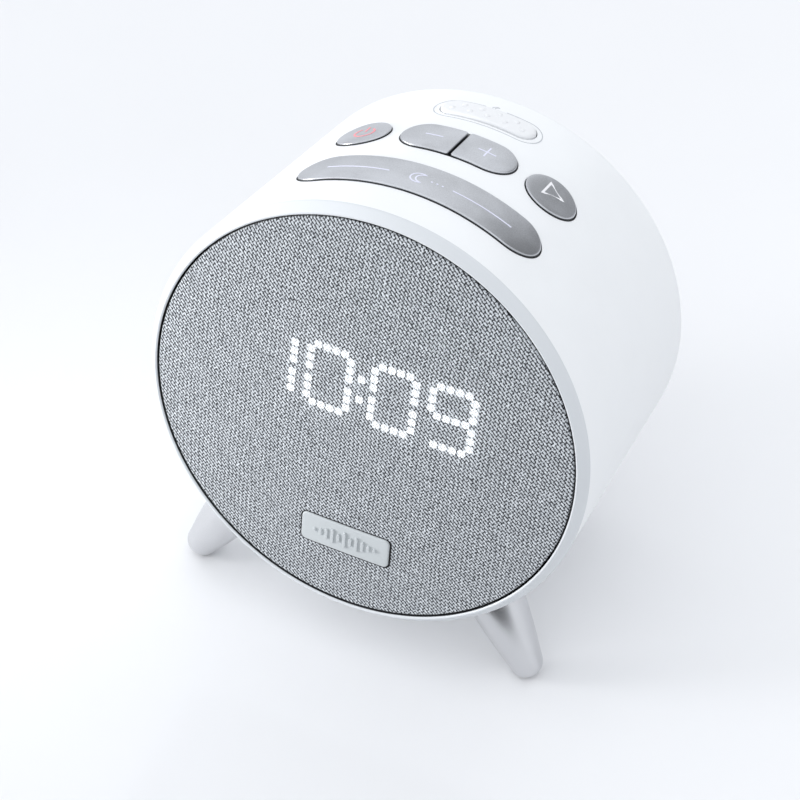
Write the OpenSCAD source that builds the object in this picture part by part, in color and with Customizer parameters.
// Bedside clock radio: a tapered drum, tilted back on two splayed front legs and a rubber rear foot.
//
// The drum is drawn in its own frame and then placed. In the drum frame the front lip lies in the plane
// y = 0, +Y runs along the drum's axis to the back, +X is to the right and +Z is square to the axis.
// placed() tilts that frame and stands it on the floor, which is z = 0.

/* [Drum] */
// Diameter of the drum at its front edge
front_d = 132; // [126:1:138]
// Diameter of the drum at its back edge
rear_d = 123.4; // [118:0.2:128]
// Length of the drum along its axis
depth = 81; // [78:0.5:86]
// Thickness of the drum's wall
wall = 2.2; // [1.8:0.1:2.6]
// Angle that the drum leans back
tilt = 13; // [10:0.5:14]

/* [Front] */
// Depth of the bevel between the front lip and the drum's side
bevel_depth = 3.2; // [2.4:0.1:4]
// Width of the bevel, measured outwards
bevel_width = 2.45; // [2:0.05:3]
// Radius on the inner edge of the front lip
lip_round = 0.5; // [0.3:0.1:0.8]
// Width of the dark groove between the lip and the cloth
groove = 0.55; // [0.4:0.05:0.8]
// How far the middle of the cloth stands ahead of its rim
dome_rise = 3.4; // [2.6:0.1:4]
// How far the middle of the cloth stands ahead of the front lip
dome_proud = 3; // [2.2:0.1:3.4]

/* [Display] */
// Distance between the two dot columns of a digit
digit_w = 12.1; // [11.5:0.1:12.6]
// Distance between the top and bottom dot rows of a digit
digit_h = 18.8; // [18:0.1:19.4]
// Spacing of the dots along a segment
dot_pitch = 2.7; // [2.5:0.05:2.8]
// Distance between the facing columns of two digits
digit_gap = 4.9; // [4.5:0.1:5.4]
// Distance from the colon to the nearest column
colon_gap = 3.6; // [3.4:0.1:4]
// Height of the display's middle above the drum's axis
display_z = 12.7; // [12:0.1:13.4]

/* [Keys] */
// How far the metal keys stand above the drum
key_rise = 0.7; // [0.6:0.1:1.1]
// Travel of a top key
key_travel = 0.8; // [0.5:0.1:0.8]
// Gap around a key
key_gap = 0.3; // [0.3:0.05:0.4]
// Length of the snooze key
snooze_l = 70.6; // [66:0.2:72]
// Width of the snooze key
snooze_w = 15.4; // [14:0.2:16]
// Length of the paired minus and plus keys together
pair_l = 33.8; // [32:0.2:35]
// Width of the minus, plus, power and play keys
small_w = 14.6; // [13.6:0.2:15]
// Distance of the power and play keys from the middle
side_x = 28.1; // [27:0.1:29]
// Length of the night-light key
night_l = 28.4; // [26:0.2:30]
// Width of the night-light key
night_w = 8.4; // [7.6:0.2:8.8]

/* [Legs] */
// Sideways place of a front leg's tip
leg_tip_x = 51.7; // [50:0.1:53]
// Place of a front leg's tip along the drum
leg_tip_y = 16.2; // [14:0.1:18]
// Distance of a front leg's tip centre below the drum's axis
leg_tip_drop = 73.4; // [73:0.1:76]
// Radius of a front leg's rounded tip
leg_tip_r = 4.9; // [4.5:0.1:5.2]
// Radius of a front leg where it meets the drum
leg_top_r = 8.4; // [7.8:0.1:8.8]
// Width of the rear foot
rear_foot_w = 40; // [32:1:48]

/* [Speaker] */
// Radius of the driver's mounting flange
driver_r = 25.5; // [24.5:0.1:25.6]
// Distance of the driver's axis below the drum's axis
driver_drop = 29; // [28.8:0.1:29.4]
// Travel of the cone each way
cone_travel = 1; // [0.5:0.1:1]

/* [Back] */
// Radius of the aux jack's bore
aux_r = 1.8; // [1.78:0.01:1.85]
// Radius of the power inlet's bore
inlet_r = 2.9; // [2.8:0.05:3]
// Travel of the backup cell's drawer
drawer_travel = 30; // [26:1:31]
// Travel of a back key
back_travel = 0.6; // [0.4:0.1:0.8]
// Travel of the slide switch, end to end
slide_travel = 4; // [3:0.5:4]

/* [Hidden] */
$fn = 96;
part_gap = 0.2;
// How far a cutting shape reaches past what it cuts
over = 10;
front_r = front_d / 2;
rear_r = rear_d / 2;
lip_r = front_r - bevel_width;
groove_r = lip_r - lip_round;
cloth_r = groove_r - groove;
cloth_t = 0.6;
frame_t = 1.8;
dome_r = (cloth_r * cloth_r + dome_rise * dome_rise) / (2 * dome_rise);
spigot_wall = 0.65;
spigot_l = 4;

// The front baffle, and the layers in front of it and behind it
baffle_y = 4.5;
baffle_t = 3;
baffle_back = baffle_y + baffle_t;
baffle_r = 61;
speaker_hole_r = 22.6;
board_t = 1.6;
diffuser_y = -0.5;
diffuser_t = 0.5;
led_size = 1.2;
led_t = 0.7;
dot_hole_r = 0.95;
display_l = 64;
display_h = 24;

// Columns of the four digits, the first of which only ever shows a one, and where the level bars start
columns = [
  -colon_gap - digit_w - digit_gap, -colon_gap - digit_w, -colon_gap, colon_gap, colon_gap + digit_w,
  colon_gap + digit_w + digit_gap, colon_gap + 2 * digit_w + digit_gap
];
bar_starts = [-colon_gap - digit_w, colon_gap, colon_gap + digit_w + digit_gap];
colon_dot = 3.3;
display_x = (columns[0] + columns[6]) / 2;

// The slots in the grille frame, in front of the loudspeaker
slot_pitch = 3.2;
slot_w = 1.8;
slot_reach = 22.5;

// The badge on the cloth
badge_z = -39.2;
badge_l = 26.9;
badge_h = 9.7;
badge_rise = 0.7;
badge_round = 1.6;
badge_step = 0.35;
badge_peg_x = 9;
badge_peg_r = 1.2;

// The loudspeaker's planes and radii
surround_y = 9.2;
flange_y = 9.6;
cone_rim_r = 19.2;
coil_r = 7.05;
top_plate_y = 22;
magnet_y = 25;
yoke_y = 33;
magnet_r = 20;
pole_r = 6.45;
plate_r = 17;
coil_end = magnet_y + cone_travel + 0.4;

// The back cover and the boards
cover_t = 2.4;
cover_y = depth - cover_t;
cover_r = rear_r - 2.7;
seat_w = 3.3;
seat_t = 2;
main_board_y = 62;
board_back = main_board_y + board_t;
key_board_z = 44;
switch_w = 6;
switch_h = 3.6;
plunger_r = 1.6;
plunger_rise = key_travel + 0.6;
plunger_base = 2;
stem_r = 1.8;
plunger_top = key_board_z + board_t + switch_h + plunger_rise;

// Key places along the drum
snooze_y = 24;
small_y = 48.5;
night_y = 68.6;
pair_split = 0.8;
flange_grow = 1;
flange_t = 1;
flange_gap = 0.25;
night_rise = 0.9;
bump_pitch = 5.3;
bump_row = 2.6;
bump_r = 0.75;
bump_sunk = 0.6;
bump_rise = 0.3;
snooze_stem_x = 18;
pair_stem_x = 8;
switch_places = [
  [-side_x, small_y], [-pair_stem_x, small_y], [pair_stem_x, small_y], [side_x, small_y],
  [0, snooze_y], [0, night_y]
];

// Fasteners
screw_r = 1.3;
screw_head_r = 2.8;
screw_head_t = 1.8;
baffle_screw_l = 12;
cover_screw_l = 13;
boss_r = 3.5;
boss_l = 14;
rib_start = 2.6;
rib_inset = 0.5;
rib_t = 2.4;
boss_angles_front = [30, 150, 195, 345];
boss_angles_back = [40, 140, 220, 320];
front_boss_at = 55.5;
back_boss_at = 52;
stud_r = 2;

// Back panel layout, as seen in the drum frame
inlet_at = [-20, -32];
aux_at = [0, -32];
usb_at = [20, -32];
drawer_at = [0, 2];
slide_at = [30, 2];
back_key_x = [-24, -8, 8, 24];
back_key_z = 28;
back_key_l = 10;
back_key_w = 5.4;
back_key_rise = 0.8;
back_key_gap = 0.3;
back_flange = 1.4;
switch_floor = 1;
back_tip = board_back + switch_floor + back_travel + 0.4;
socket_lip = 0.2;
inlet_nose_r = 4.4;
inlet_pin_r = 1;
aux_nose_r = 3;
usb_l = 14.5;
usb_h = 7.2;
slide_knob_l = 5.8;
slide_knob_h = 3;
// Chips on the main board, each as its place, its length and height, and how far it stands off the board
chips = [
  [-20, 14, 12, 12, 1.6], [4, 20, 8, 6, 1.4], [30, -14, 7, 7, 3], [-30, -12, 10, 6, 1.6],
  [-4, 30, 3.2, 1.6, 1], [4, 30, 3.2, 1.6, 1]
];
capacitor_x = [-34, -26, 28, 36];
drawer_w = 29;
drawer_h = 6.6;
drawer_l = drawer_travel + 4;
drawer_gap = 0.4;
cell_r = 12.25;
cell_t = 4.8;

// Standing on the floor, with the whole object's box centred on the origin
floor_drop = leg_tip_y * sin(tilt) + leg_tip_drop * cos(tilt) + leg_tip_r;
centre_y = (depth * cos(tilt) + rear_r * sin(tilt) - lip_r * sin(tilt)) / 2;
leg_lean = [-0.484, -0.08, 0.871];
leg_l = 32;
pad_r = 2.4;
pad_proud = 0.8;
pad_sunk = 1.2;
rear_foot_l = 12;
rear_foot_y = 56.5;
foot_peg_x = 12;
foot_peg_y = 71;
foot_peg_r = 2.4;
leg_swell_l = 26;
leg_swell = 0.42;
foot_h = 9;

// ---------- helpers ----------

// Radius of the drum's outside at distance y behind the lip
function drum_r(y) = front_r - (y - bevel_depth) * (front_r - rear_r) / (depth - bevel_depth);

// Place on a circle in the drum's X-Z plane
function polar(a, r) = [r * cos(a), r * sin(a)];

module placed() {
  translate([0, -centre_y, floor_drop]) rotate([-tilt, 0, 0]) children();
}

// Turns +Z of the children to +Y, and moves them to (x, y, z)
module along_y(x = 0, y = 0, z = 0) {
  translate([x, y, z]) rotate([-90, 0, 0]) children();
}

// A plate whose outline is drawn in X-Z, from y0 to y1
module plate_y(y0, y1) {
  translate([0, y1, 0]) rotate([90, 0, 0]) linear_extrude(y1 - y0) children();
}

// The profile is drawn as [radius, y] and turned about the drum's axis, moved down by drop
module turned(drop = 0) {
  translate([0, 0, -drop]) rotate([90, 0, 0]) mirror([0, 0, 1]) rotate_extrude() children();
}

// The solid inside a cone that lies `inset` below the drum's surface
module drum_solid(inset = 0) {
  slope = (front_r - rear_r) / (depth - bevel_depth);
  reach = 12;
  along_y(0, bevel_depth - reach, 0)
    cylinder(h = depth - bevel_depth + 2 * reach,
             r1 = front_r - inset + slope * reach, r2 = rear_r - inset - slope * reach);
}

module stadium(l, w) {
  square([l - w, w], center = true);
  for (s = [-1, 1]) translate([s * (l - w) / 2, 0]) circle(d = w);
}

module rounded_rect(l, w, r) {
  square([l - 2 * r, w], center = true);
  square([l, w - 2 * r], center = true);
  for (sx = [-1, 1], sy = [-1, 1]) translate([sx * (l / 2 - r), sy * (w / 2 - r)]) circle(r = r);
}

module screw(l) {
  translate([0, 0, -screw_head_t]) cylinder(h = screw_head_t, r = screw_head_r);
  cylinder(h = l, r = screw_r);
}

// ---------- housing ----------

module boss(a, at, y0, y1) {
  p = polar(a, at);
  difference() {
    union() {
      along_y(p[0], y0, p[1]) cylinder(h = y1 - y0, r = boss_r);
      rotate([0, -a, 0]) translate([at + rib_start, y0 + rib_inset, -rib_t / 2])
        cube([drum_r(y1) - wall / 2 - at - rib_start, y1 - y0 - 2 * rib_inset, rib_t]);
    }
    along_y(p[0], y0 - 1, p[1]) cylinder(h = y1 - y0 + 2, r = screw_r);
  }
}

module key_openings() {
  linear_extrude(front_r + over) {
    translate([0, snooze_y]) stadium(snooze_l + 2 * key_gap, snooze_w + 2 * key_gap);
    translate([0, small_y]) stadium(pair_l + 2 * key_gap, small_w + 2 * key_gap);
    for (s = [-1, 1]) translate([s * side_x, small_y]) circle(d = small_w + 2 * key_gap);
    translate([0, night_y]) stadium(night_l + 2 * key_gap, night_w + 2 * key_gap);
  }
}

module foot_pegs(grow = 0) {
  for (s = [-1, 1])
    translate([s * foot_peg_x, foot_peg_y, -drum_r(foot_peg_y) - 1])
      cylinder(h = wall + 3, r = foot_peg_r + grow);
}

module leg_axis(side) {
  a = [side * leg_lean[0], leg_lean[1], leg_lean[2]];
  translate([side * leg_tip_x, leg_tip_y, -leg_tip_drop])
    rotate([0, acos(a[2] / norm(a)), atan2(a[1], a[0])]) children();
}

module main_shell() color("white") placed() {
  difference() {
    union() {
      turned() polygon([
        [front_r, bevel_depth], [rear_r, depth], [cover_r + part_gap, depth],
        [cover_r + part_gap, cover_y], [cover_r - seat_w, cover_y], [cover_r - seat_w, cover_y - seat_t],
        [drum_r(cover_y) - wall, cover_y - seat_t - 2], [front_r - wall + 0.2, bevel_depth]
      ]);
      for (a = boss_angles_front) boss(a, front_boss_at, baffle_back, baffle_back + boss_l);
      for (a = boss_angles_back) boss(a, back_boss_at, cover_y - boss_l, cover_y);
    }
    key_openings();
    foot_pegs(0.05);
    for (s = [-1, 1]) leg_axis(s) cylinder(h = leg_l + 6, r = stud_r + 0.05);
  }
}

module front_bezel() color("whitesmoke") placed()
  turned() union() {
    polygon([
      [groove_r, lip_round], [lip_r, lip_round], [lip_r, 0], [front_r, bevel_depth],
      [groove_r + spigot_wall, bevel_depth], [groove_r + spigot_wall, bevel_depth + spigot_l],
      [groove_r, bevel_depth + spigot_l]
    ]);
    intersection() {
      translate([lip_r, lip_round]) circle(r = lip_round);
      translate([groove_r, 0]) square(lip_round);
    }
  }

module rear_cover() color("white") placed() difference() {
  plate_y(cover_y, depth) circle(r = cover_r);
  plate_y(cover_y - 1, depth + 1) {
    translate(inlet_at) circle(r = inlet_nose_r + socket_lip);
    translate(aux_at) circle(r = aux_nose_r + socket_lip);
    translate(usb_at) rounded_rect(usb_l + 2 * socket_lip, usb_h + 2 * socket_lip, 0.6);
    translate(drawer_at) square([drawer_w + 2 * drawer_gap, drawer_h + 2 * drawer_gap], center = true);
    translate(slide_at) rounded_rect(slide_knob_l + slide_travel + 1.2, slide_knob_h + 1, 0.8);
    for (x = back_key_x)
      translate([x, back_key_z]) stadium(back_key_l + 2 * back_key_gap, back_key_w + 2 * back_key_gap);
    for (a = boss_angles_back) translate(polar(a, back_boss_at)) circle(r = screw_r + 0.2);
  }
  for (a = boss_angles_back)
    along_y(polar(a, back_boss_at)[0], depth - screw_head_t, polar(a, back_boss_at)[1])
      cylinder(h = 3, r = screw_head_r + 0.2);
}

module cover_screws() color("silver") placed()
  for (a = boss_angles_back)
    translate([polar(a, back_boss_at)[0], depth - screw_head_t, polar(a, back_boss_at)[1]])
      rotate([90, 0, 0]) screw(cover_screw_l);

// ---------- feet ----------

// Radius of a leg at distance t above its tip centre: a cone with a slightly swollen side
function leg_r(t) =
  let (share = t / leg_swell_l)
  leg_tip_r + (leg_top_r - leg_tip_r) * ((1 + leg_swell) * share - leg_swell * share * share);

module leg(side) placed_leg_cut() {
  union() {
    leg_axis(side) {
      sphere(r = leg_tip_r);
      rotate_extrude() polygon([
        [0, 0], for (t = [0:4:leg_l]) [leg_r(t), t], [0, leg_l]
      ]);
    }
  }
  leg_axis(side) cylinder(h = leg_l + 4, r = stud_r);
}

// Cuts the first child at the drum's surface and at the floor pad, and then adds the second child
module placed_leg_cut() {
  difference() {
    union() {
      difference() {
        placed() children(0);
        placed() drum_solid();
      }
      placed() children(1);
    }
    translate([-100, -100, -20]) cube([200, 200, 20 + pad_proud]);
    pad_wells();
  }
}

// The point of the floor under each leg's tip
function tip_floor_y() = leg_tip_y * cos(tilt) - leg_tip_drop * sin(tilt) - centre_y;

module pad_wells() {
  for (s = [-1, 1])
    translate([s * leg_tip_x, tip_floor_y(), -1]) cylinder(h = 1 + pad_proud + pad_sunk, r = pad_r);
}

module left_front_leg() color("silver") leg(-1);

module right_front_leg() color("silver") leg(1);

module leg_pads() color("dimgray")
  for (s = [-1, 1])
    translate([s * leg_tip_x, tip_floor_y(), 0]) cylinder(h = pad_proud + pad_sunk, r = pad_r);

module leg_nuts() color("goldenrod") placed()
  for (s = [-1, 1]) leg_axis(s) translate([0, 0, leg_l - 1.5]) difference() {
    cylinder(h = 3.2, r = 4, $fn = 6);
    translate([0, 0, -1]) cylinder(h = 6, r = stud_r);
  }

module rear_foot() color("dimgray") {
  difference() {
    translate([0, rear_foot_y - centre_y, 0])
      linear_extrude(foot_h) rounded_rect(rear_foot_w, rear_foot_l, 3);
    placed() drum_solid();
  }
  placed() foot_pegs();
}

// ---------- front ----------

// The space behind a dome of the given inset, out to radius r and back to y1
module dome(inset, r, y1) {
  intersection() {
    along_y(0, -dome_proud - 1, 0) cylinder(h = y1 + dome_proud + 1, r = r);
    translate([0, dome_r - dome_proud + inset, 0]) sphere(r = dome_r, $fn = 256);
  }
}

module grille_cloth() color("darkgray") placed() difference() {
  dome(0, cloth_r, baffle_y - part_gap);
  dome(cloth_t, cloth_r - cloth_t, baffle_back);
  plate_y(-5, 0) translate([0, badge_z]) rounded_rect(badge_l - 1, badge_h - 1, badge_round - 0.5);
}

module grille_frame() color("dimgray") placed() difference() {
  dome(cloth_t, cloth_r - cloth_t, baffle_y - part_gap);
  dome(cloth_t + frame_t, cloth_r - cloth_t - frame_t, baffle_back);
  plate_y(-6, 8) translate([display_x, display_z]) square([display_l + 1, display_h + 1], center = true);
  for (i = [-6:6]) plate_y(-6, 8) translate([0, -driver_drop + i * slot_pitch])
    if (abs(-driver_drop + i * slot_pitch - badge_z) > badge_h / 2 + 1.4)
      stadium(2 * sqrt(slot_reach * slot_reach - pow(i * slot_pitch, 2)), slot_w);
  for (s = [-1, 1]) plate_y(-6, 8) translate([s * badge_peg_x, badge_z]) circle(r = badge_peg_r + 0.1);
}

module badge() color("lightgray") placed() {
  y_face = -dome_proud + pow(badge_z, 2) / (2 * dome_r);
  plate_y(y_face - badge_rise, y_face - badge_step)
    translate([0, badge_z]) rounded_rect(badge_l, badge_h, badge_round);
  plate_y(y_face - badge_step, y_face + part_gap)
    translate([0, badge_z]) rounded_rect(badge_l - 1.2, badge_h - 1.2, badge_round - 0.6);
  for (s = [-1, 1])
    plate_y(y_face, y_face + 4.6) translate([s * badge_peg_x, badge_z]) circle(r = badge_peg_r);
}

module front_baffle() color("dimgray") placed() difference() {
  plate_y(baffle_y, baffle_back) circle(r = baffle_r);
  plate_y(baffle_y - 1, baffle_back + 1) {
    translate([0, -driver_drop]) circle(r = speaker_hole_r);
    translate([display_x, display_z]) square([display_l + 1, display_h + 1], center = true);
    for (a = boss_angles_front) translate(polar(a, front_boss_at)) circle(r = screw_r + 0.2);
  }
}

module baffle_screws() color("silver") placed()
  for (a = boss_angles_front)
    along_y(polar(a, front_boss_at)[0], baffle_y, polar(a, front_boss_at)[1]) screw(baffle_screw_l);

// ---------- display ----------

// Runs its children at every dot of the display, in the plane X-Z
module at_dots() {
  for (x = columns, s = [-1, 1], k = [-1:1])
    translate([x, display_z + s * digit_h / 4 + k * dot_pitch]) children();
  for (x = bar_starts, row = [-1:1], k = [-1.5:1:1.5])
    translate([x + digit_w / 2 + k * dot_pitch, display_z + row * digit_h / 2]) children();
  for (s = [-1, 1]) translate([0, display_z + s * colon_dot]) children();
}

module light_block() color("black") placed() difference() {
  plate_y(diffuser_y + diffuser_t, baffle_back)
    translate([display_x, display_z]) square([display_l, display_h], center = true);
  plate_y(diffuser_y - 1, baffle_back + 1) at_dots() circle(r = dot_hole_r);
}

module display_leds() color("lemonchiffon") placed()
  plate_y(baffle_back - led_t, baffle_back) at_dots() square(led_size, center = true);

module display_diffuser() color("white") placed()
  plate_y(diffuser_y, diffuser_y + diffuser_t)
    translate([display_x, display_z]) square([display_l, display_h], center = true);

module display_board() color("darkgreen") placed()
  plate_y(baffle_back, baffle_back + board_t)
    translate([display_x, display_z]) square([display_l + 8, display_h + 5], center = true);

// ---------- loudspeaker ----------

module speaker_gasket() color("dimgray") placed()
  turned(driver_drop) polygon([
    [23.1, baffle_back], [25.3, baffle_back], [25.3, surround_y], [23.1, surround_y]
  ]);

module speaker_surround() color("dimgray") placed() turned(driver_drop) difference() {
  union() {
    translate([21, surround_y + 0.4]) circle(r = 2);
    translate([22.5, surround_y]) square([2.8, 0.4]);
    translate([cone_rim_r - 0.8, surround_y]) square([1, 0.4]);
  }
  translate([21, surround_y + 0.4]) circle(r = 1.6);
  translate([15, surround_y + 0.4]) square([15, 5]);
}

module speaker_basket() color("gray") placed() difference() {
  turned(driver_drop) polygon([
    [22.7, flange_y], [driver_r, flange_y], [driver_r, flange_y + 1.2], [23.6, flange_y + 1.2],
    [18.4, 18], [18.4, 20.6], [17, top_plate_y], [8.4, top_plate_y], [8.4, 21.2], [15.8, 21.2],
    [16, 19.8], [17.4, 19.8], [17.4, 17.6], [22.7, flange_y + 1.2]
  ]);
  for (a = [45:90:315]) translate([0, 0, -driver_drop]) rotate([0, a, 0])
    translate([16.5, 12, -5]) cube([12, 4.6, 10]);
}

module speaker_top_plate() color("silver") placed()
  turned(driver_drop) polygon([
    [7.85, top_plate_y], [plate_r, top_plate_y], [plate_r, magnet_y], [7.85, magnet_y]
  ]);

module speaker_magnet() color("dimgray") placed()
  turned(driver_drop) polygon([[9.5, magnet_y], [magnet_r, magnet_y], [magnet_r, yoke_y], [9.5, yoke_y]]);

module speaker_yoke() color("silver") placed()
  turned(driver_drop) polygon([
    [0, top_plate_y], [pole_r, top_plate_y], [pole_r, yoke_y], [plate_r, yoke_y], [plate_r, yoke_y + 3],
    [0, yoke_y + 3]
  ]);

module speaker_cone() color("black") placed()
  turned(driver_drop) polygon([
    [cone_rim_r - 0.8, flange_y], [cone_rim_r, flange_y], [cone_rim_r, flange_y + 0.6],
    [coil_r + 0.5, 18.1], [coil_r, 18.1], [coil_r, 17.4]
  ]);

module dust_cap() color("black") placed() turned(driver_drop) difference() {
  intersection() {
    translate([0, 23]) circle(r = 11.5);
    square([9.2, 15.95]);
  }
  translate([0, 23]) circle(r = 11);
}

module voice_coil() color("peru") placed()
  turned(driver_drop) polygon([
    [coil_r - 0.2, 17.4], [coil_r, 17.4], [coil_r, 22], [coil_r + 0.35, 22], [coil_r + 0.35, 25.2],
    [coil_r, 25.2], [coil_r, coil_end], [coil_r - 0.2, coil_end]
  ]);

module speaker_spider() color("goldenrod") placed()
  turned(driver_drop) polygon(concat(
    [for (r = [coil_r + 0.05:0.5:17.3]) [r, 19.3 + 0.4 * sin((r - coil_r) * 140)]],
    [for (r = [17.05:-0.5:coil_r + 0.05]) [r, 19 + 0.4 * sin((r - coil_r) * 140)]]
  ));

// ---------- top keys ----------

// A key cap with a retaining flange under the drum's wall, and a stem on its switch.
// The first child is the cap's outline, and the second the flange's.
module key(rise, stems) {
  intersection() {
    linear_extrude(front_r + over) children(0);
    difference() {
      drum_solid(-rise);
      drum_solid(wall + flange_gap + flange_t);
    }
  }
  intersection() {
    linear_extrude(front_r + over) children(1);
    difference() {
      drum_solid(wall + flange_gap);
      drum_solid(wall + flange_gap + flange_t);
    }
  }
  for (p = stems)
    translate([p[0], p[1], plunger_top])
      cylinder(h = sqrt(pow(drum_r(p[1]) - wall - flange_t, 2) - p[0] * p[0]) - plunger_top, r = stem_r);
}

module half(side) {
  intersection() {
    children();
    translate([side * 50 + side * pair_split / 2, small_y]) square([100, 100], center = true);
  }
}

module power_key() color("silver") placed() key(key_rise, [[-side_x, small_y]]) {
  translate([-side_x, small_y]) circle(d = small_w);
  translate([-side_x, small_y]) circle(d = small_w + 2 * flange_grow);
}

module play_key() color("silver") placed() key(key_rise, [[side_x, small_y]]) {
  translate([side_x, small_y]) circle(d = small_w);
  translate([side_x, small_y]) circle(d = small_w + 2 * flange_grow);
}

module pair_key(side) key(key_rise, [[side * pair_stem_x, small_y]]) {
  half(side) translate([0, small_y]) stadium(pair_l, small_w);
  half(side) translate([0, small_y]) stadium(pair_l + 2 * flange_grow, small_w + 2 * flange_grow);
}

module minus_key() color("silver") placed() pair_key(-1);

module plus_key() color("silver") placed() pair_key(1);

module snooze_key() color("silver") placed()
  key(key_rise, [[0, snooze_y], [-snooze_stem_x, snooze_y], [snooze_stem_x, snooze_y]]) {
    translate([0, snooze_y]) stadium(snooze_l, snooze_w);
    translate([0, snooze_y]) stadium(snooze_l + 2 * flange_grow, snooze_w + 2 * flange_grow);
  }

module night_light_key() color("white") placed() {
  key(night_rise, [[0, night_y]]) {
    translate([0, night_y]) stadium(night_l, night_w);
    translate([0, night_y]) stadium(night_l + 2 * flange_grow, night_w + flange_grow);
  }
  for (i = [-1.5:1:1.5]) night_bump(i * bump_pitch, night_y + bump_row / 2);
  for (i = [-2:2]) night_bump(i * bump_pitch, night_y - bump_row / 2);
}

module night_bump(x, y)
  translate([x, y, sqrt(pow(drum_r(y) + night_rise, 2) - x * x) - bump_sunk])
    cylinder(h = bump_sunk + bump_rise, r = bump_r);

module plunger(p) placed()
  translate([p[0], p[1], key_board_z + board_t + plunger_base])
    cylinder(h = plunger_top - key_board_z - board_t - plunger_base, r = plunger_r);

module power_plunger() color("black") plunger(switch_places[0]);

module minus_plunger() color("black") plunger(switch_places[1]);

module plus_plunger() color("black") plunger(switch_places[2]);

module play_plunger() color("black") plunger(switch_places[3]);

module snooze_plunger() color("black") plunger(switch_places[4]);

module night_light_plunger() color("black") plunger(switch_places[5]);

module key_switches() color("silver") placed()
  for (p = switch_places) translate([p[0], p[1], key_board_z + board_t]) difference() {
    translate([-switch_w / 2, -switch_w / 2, 0]) cube([switch_w, switch_w, switch_h]);
    translate([0, 0, switch_floor]) cylinder(h = switch_h, r = plunger_r + 0.3);
  }

module key_board() color("darkgreen") placed() difference() {
  translate([-36, 14, key_board_z]) cube([72, 60, board_t]);
  for (s = [-1, 1]) translate([s * snooze_stem_x, snooze_y, key_board_z - 1]) cylinder(h = 4, r = 2.6);
}

module night_light_leds() color("lemonchiffon") placed()
  for (s = [-1, 1]) translate([s * 8 - 1.4, night_y - 1.2, key_board_z + board_t]) cube([2.8, 2.4, 1.4]);

// ---------- boards ----------

module main_board() color("darkgreen") placed() difference() {
  plate_y(main_board_y, board_back) translate([0, -3]) square([84, 78], center = true);
  plate_y(main_board_y - 1, board_back + 1)
    translate(drawer_at) square([drawer_w + 5, drawer_h + 5], center = true);
}

module chip(x, z, l, h, t) {
  plate_y(main_board_y - t, main_board_y) translate([x, z]) square([l, h], center = true);
}

module main_board_parts() color("black") placed() {
  for (c = chips) chip(c[0], c[1], c[2], c[3], c[4]);
  for (x = capacitor_x) plate_y(main_board_y - 11, main_board_y) translate([x, -32]) circle(r = 3.1);
}

module radio_shield() color("silver") placed()
  plate_y(main_board_y - 3, main_board_y) translate([24, 20]) rounded_rect(18, 15, 1);

module antenna_strip() color("peru") placed()
  translate([-40, 18, key_board_z - 4]) cube([80, 10, 0.8]);

// ---------- back panel pieces ----------

module power_inlet() color("black") placed() {
  difference() {
    union() {
      plate_y(board_back, cover_y) translate(inlet_at) square([9, 11], center = true);
      plate_y(cover_y - 0.5, depth) translate(inlet_at) circle(r = inlet_nose_r);
    }
    plate_y(board_back + 5, depth + 1) translate(inlet_at) circle(r = inlet_r);
  }
  plate_y(board_back + 4, depth - 1.5) translate(inlet_at) circle(r = inlet_pin_r);
}

module aux_jack() color("black") placed() difference() {
  union() {
    plate_y(board_back, cover_y) translate(aux_at) square([8, 8], center = true);
    plate_y(cover_y - 0.5, depth) translate(aux_at) circle(r = aux_nose_r);
  }
  plate_y(board_back + 3, depth + 1) translate(aux_at) circle(r = aux_r);
}

module usb_socket() color("silver") placed() {
  difference() {
    plate_y(board_back, depth) translate(usb_at) square([usb_l, usb_h], center = true);
    plate_y(board_back + 2, depth + 1) translate(usb_at) square([usb_l - 1.9, usb_h - 1.9], center = true);
  }
  plate_y(board_back + 1, depth - 1.5)
    translate([usb_at[0], usb_at[1] + 1.2]) square([11, 1.9], center = true);
}

module slide_switch_body() color("black") placed() difference() {
  plate_y(board_back, cover_y) translate(slide_at) square([14, 7], center = true);
  plate_y(cover_y - 5, cover_y + 1)
    translate(slide_at) square([slide_knob_l + slide_travel + 0.8, slide_knob_h + 0.6], center = true);
}

module slide_switch_knob() color("black") placed() {
  plate_y(cover_y - 4.6, depth - 0.3) translate(slide_at) square([slide_knob_l, slide_knob_h], center = true);
  for (x = [-2, 0, 2])
    plate_y(depth - 0.4, depth + 0.4)
      translate([slide_at[0] + x, slide_at[1]]) square([0.8, slide_knob_h], center = true);
}

module back_key(i) placed() {
  plate_y(cover_y - back_flange, depth + back_key_rise)
    translate([back_key_x[i], back_key_z]) stadium(back_key_l, back_key_w);
  plate_y(cover_y - back_flange, cover_y - 0.3)
    translate([back_key_x[i], back_key_z]) stadium(back_key_l + 2, back_key_w + 2);
  plate_y(back_tip, cover_y - back_flange + 0.1) translate([back_key_x[i], back_key_z]) circle(r = plunger_r);
}

module alarm_one_key() color("white") back_key(0);

module alarm_two_key() color("white") back_key(1);

module time_set_key() color("white") back_key(2);

module pairing_key() color("white") back_key(3);

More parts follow.
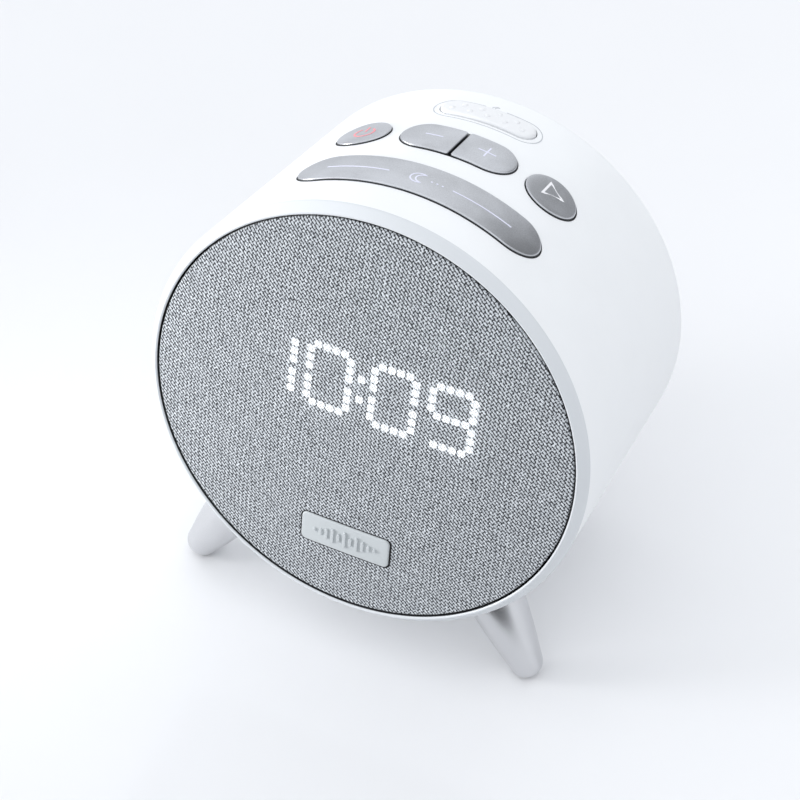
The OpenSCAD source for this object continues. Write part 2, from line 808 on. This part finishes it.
module back_key_switches() color("silver") placed()
  for (x = back_key_x) difference() {
    plate_y(board_back, board_back + switch_h) translate([x, back_key_z]) square(switch_w, center = true);
    plate_y(board_back + switch_floor, board_back + 5) translate([x, back_key_z]) circle(r = plunger_r + 0.3);
  }

module cell_sleeve() color("dimgray") placed() difference() {
  plate_y(cover_y - drawer_l - 1, cover_y)
    translate(drawer_at) square([drawer_w + 4, drawer_h + 4], center = true);
  plate_y(cover_y - drawer_l + 0.6, cover_y + 1)
    translate(drawer_at) square([drawer_w + 0.7, drawer_h + 0.7], center = true);
}

module cell_drawer() color("white") placed() difference() {
  union() {
    plate_y(depth - drawer_l, depth) translate(drawer_at) square([drawer_w, drawer_h], center = true);
    plate_y(depth - 0.1, depth + 1.4)
      translate([drawer_at[0], drawer_at[1] - 1.8]) square([12, 1.6], center = true);
  }
  translate([drawer_at[0], depth - drawer_l / 2 - 2, drawer_at[1] - drawer_h / 2 + 1])
    cylinder(h = drawer_h, r = cell_r + 0.2);
}

module coin_cell() color("silver") placed()
  translate([drawer_at[0], depth - drawer_l / 2 - 2, drawer_at[1] - drawer_h / 2 + 1])
    cylinder(h = cell_t, r = cell_r);

main_shell();
front_bezel();
grille_frame();
grille_cloth();
badge();
rear_cover();
left_front_leg();
right_front_leg();
leg_pads();
leg_nuts();
rear_foot();
cover_screws();
baffle_screws();
front_baffle();
speaker_gasket();
speaker_basket();
speaker_magnet();
speaker_yoke();
speaker_top_plate();
speaker_cone();
dust_cap();
voice_coil();
speaker_surround();
speaker_spider();
display_board();
display_leds();
light_block();
display_diffuser();
main_board();
main_board_parts();
radio_shield();
antenna_strip();
key_board();
key_switches();
night_light_leds();
power_key();
minus_key();
plus_key();
snooze_key();
play_key();
night_light_key();
power_plunger();
minus_plunger();
plus_plunger();
snooze_plunger();
play_plunger();
night_light_plunger();
power_inlet();
aux_jack();
usb_socket();
slide_switch_body();
slide_switch_knob();
alarm_one_key();
alarm_two_key();
time_set_key();
pairing_key();
back_key_switches();
cell_sleeve();
cell_drawer();
coin_cell();
